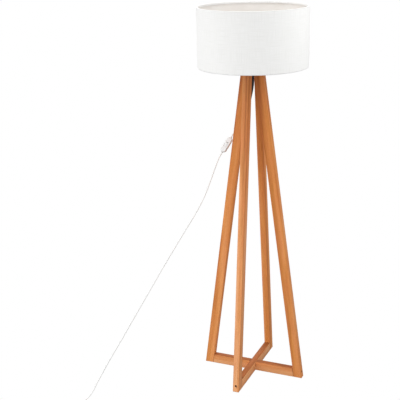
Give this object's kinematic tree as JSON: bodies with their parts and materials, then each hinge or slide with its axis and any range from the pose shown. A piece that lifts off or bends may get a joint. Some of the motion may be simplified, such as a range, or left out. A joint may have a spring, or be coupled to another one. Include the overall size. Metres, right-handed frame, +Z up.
{
  "type": "floor lamp",
  "caption": "Four-legged wooden floor lamp: leaning square timbers on crossed floor bars, white drum shade, bulb, and a corded in-line rocker switch.",
  "frame": {"origin": "on the floor, on the lamp's vertical axis, midway between the feet", "axes": "+Z up, +X along the lower floor bar, +Y along the upper floor bar towards the back leg"},
  "size_m": [0.823, 0.8885, 1.6001],
  "materials": {
    "leg_wood": "oiled, satin",
    "bar_wood": "oiled, satin",
    "hub_wood": "planed, bare",
    "dowel_wood": "turned, bare",
    "screw_steel": "blackened",
    "zinc_steel": "zinc plated",
    "black_nylon": "moulded, matt",
    "black_pvc": "flexible, matt",
    "core_insulation": "extruded",
    "holder_plastic": "moulded, satin",
    "insert_ceramic": "fired, matt",
    "brass": "stamped",
    "cap_metal": "rolled thread",
    "tip_black": "moulded",
    "collar_plastic": "moulded, satin",
    "board_white": "printed board",
    "globe_opal": "opal diffuser",
    "shade_cotton": "plain weave",
    "shade_backing": "laminated film, satin",
    "hem_tape": "turned-in edge",
    "wire_white": "powder coated",
    "cord_white": "extruded sheath",
    "switch_white": "moulded, satin",
    "rocker_white": "moulded, gloss",
    "plug_white": "moulded, satin",
    "pin_nickel": "nickel plated",
    "tie_white": "moulded"
  },
  "bodies": {
    "frame": {"leg_right": "leg_wood", "leg_back": "leg_wood", "leg_left": "leg_wood", "leg_front": "leg_wood", "crossbar_lower": "bar_wood", "crossbar_upper": "bar_wood", "foot_screws": "screw_steel", "foot_dowels": "dowel_wood", "cross_screw": "screw_steel", "hub_block": "hub_wood", "hub_screws": "screw_steel", "threaded_tube": "zinc_steel", "tube_nuts": "zinc_steel", "tube_washers": "zinc_steel", "cord_gland": "black_nylon", "strain_relief": "black_pvc", "cord_sleeve": "black_pvc", "inner_cord": "black_pvc", "inner_cores": "core_insulation", "holder_cap": "holder_plastic", "holder_body": "holder_plastic", "holder_insert": "insert_ceramic", "holder_contacts": "brass", "terminal_screws": "zinc_steel", "ring_seat": "holder_plastic", "cord_upper": "cord_white", "cord_lower": "cord_white", "cord_coil": "cord_white", "coil_tie": "tie_white", "cord_tail": "cord_white", "switch_base": "switch_white", "switch_cover": "switch_white", "switch_screws": "zinc_steel", "switch_contacts": "brass", "plug_body": "plug_white", "plug_pins": "pin_nickel", "plug_relief": "plug_white"},
    "shade": {"shade_fabric": "shade_cotton", "shade_lining": "shade_backing", "shade_hem_top": "hem_tape", "shade_hem_bottom": "hem_tape", "shade_ring_top": "wire_white", "shade_ring_bottom": "wire_white", "shade_spider": "wire_white"},
    "clamp": {"clamp_ring": "holder_plastic"},
    "bulb": {"bulb_cap": "cap_metal", "bulb_tip": "tip_black", "bulb_collar": "collar_plastic", "led_board": "board_white", "bulb_globe": "globe_opal"},
    "rocker": {"switch_rocker": "rocker_white"}
  },
  "joints": [
    {"name": "shade_turn", "type": "hinge", "parent": "frame", "child": "shade", "pos_m": [0, 0, 1.432], "axis": [0, 0, 1], "continuous": true},
    {"name": "clamp_turn", "type": "hinge", "parent": "frame", "child": "clamp", "pos_m": [0, 0, 1.4366], "axis": [0, 0, 1], "range_deg": [0, 360]},
    {"name": "bulb_lift", "type": "slide", "parent": "frame", "child": "bulb", "axis": [0, 0, 1], "range_m": [0, 0.034]},
    {"name": "rocker_tilt", "type": "hinge", "parent": "frame", "child": "rocker", "pos_m": [-0.12057, 0.00026, 1.02583], "axis": [0.8997, -0.0842, -0.4284], "range_deg": [-16, 0]}
  ]
}
